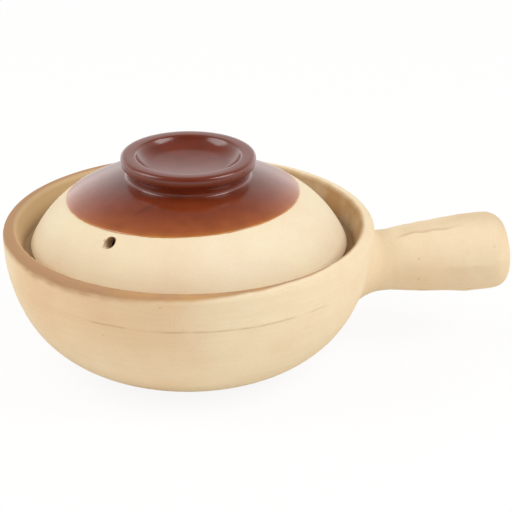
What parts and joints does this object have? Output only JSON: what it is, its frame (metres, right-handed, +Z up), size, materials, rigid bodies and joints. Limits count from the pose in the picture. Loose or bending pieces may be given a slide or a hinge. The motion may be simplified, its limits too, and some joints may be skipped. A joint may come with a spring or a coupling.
{
  "type": "herbal medicine pot",
  "caption": "Shallow round stoneware cooking pot with a hollow side handle and a loose domed lid that has a dished ring knob and a small steam vent.",
  "frame": {"origin": "the middle of the flat foot, on the surface that the pot stands on", "axes": "+X along the handle, away from the bowl; +Z up, the way the lid lifts"},
  "size_m": [0.276, 0.2, 0.116],
  "materials": {
    "clay": "unglazed sandy stoneware, matt",
    "brown_glaze": "glossy red-brown glaze",
    "lining_glaze": "glossy brown glaze"
  },
  "bodies": {
    "pot": {"pot_bowl": "clay", "pot_rim": "clay", "pot_handle": "clay", "bowl_glaze_lining": "lining_glaze"},
    "lid": {"lid_dome": "clay", "lid_knob": "clay", "lid_glaze": "brown_glaze", "lid_glaze_lining": "lining_glaze"}
  },
  "joints": [
    {"name": "lid_lift", "type": "slide", "parent": "pot", "child": "lid", "axis": [0, 0, 1], "range_m": [0, 0.12]}
  ]
}
